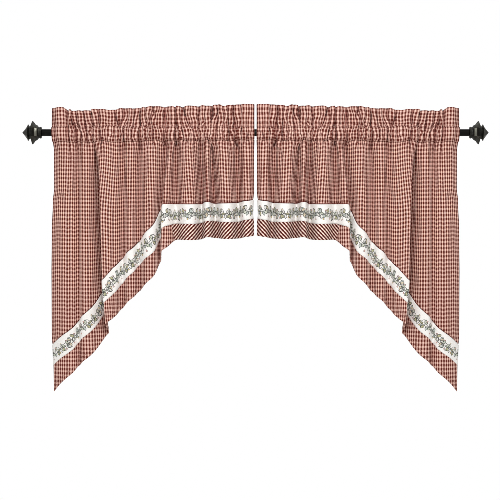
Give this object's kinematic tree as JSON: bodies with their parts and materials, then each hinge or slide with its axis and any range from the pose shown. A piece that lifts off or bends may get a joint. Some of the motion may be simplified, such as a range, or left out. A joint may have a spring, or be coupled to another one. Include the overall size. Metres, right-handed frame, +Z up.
{
  "type": "swag window valance on curtain rod",
  "caption": "Pair of ruffled swag valance panels in red gingham with a printed vine band and bias border, gathered on a black rod with faceted finials.",
  "frame": {"origin": "middle of the rod's axis, where the two panels meet", "axes": "+X along the rod to the right as seen from the room, +Y from the room towards the wall, +Z up"},
  "size_m": [1.4826, 0.0732, 0.915],
  "materials": {
    "gingham": "woven red and cream cotton gingham, matt",
    "bias_gingham": "the same gingham cut on the bias, matt",
    "printed_band": "cream cotton printed with a berry vine, matt",
    "rod_steel": "black enamel, satin",
    "finial_bronze": "near-black bronze finish, satin"
  },
  "bodies": {
    "root": {"rod": "rod_steel", "finial_left": "finial_bronze", "finial_right": "finial_bronze", "panel_left": "gingham", "panel_right": "gingham", "vine_band_left": "printed_band", "vine_band_right": "printed_band", "bias_border_left": "bias_gingham", "bias_border_right": "bias_gingham"}
  },
  "joints": []
}
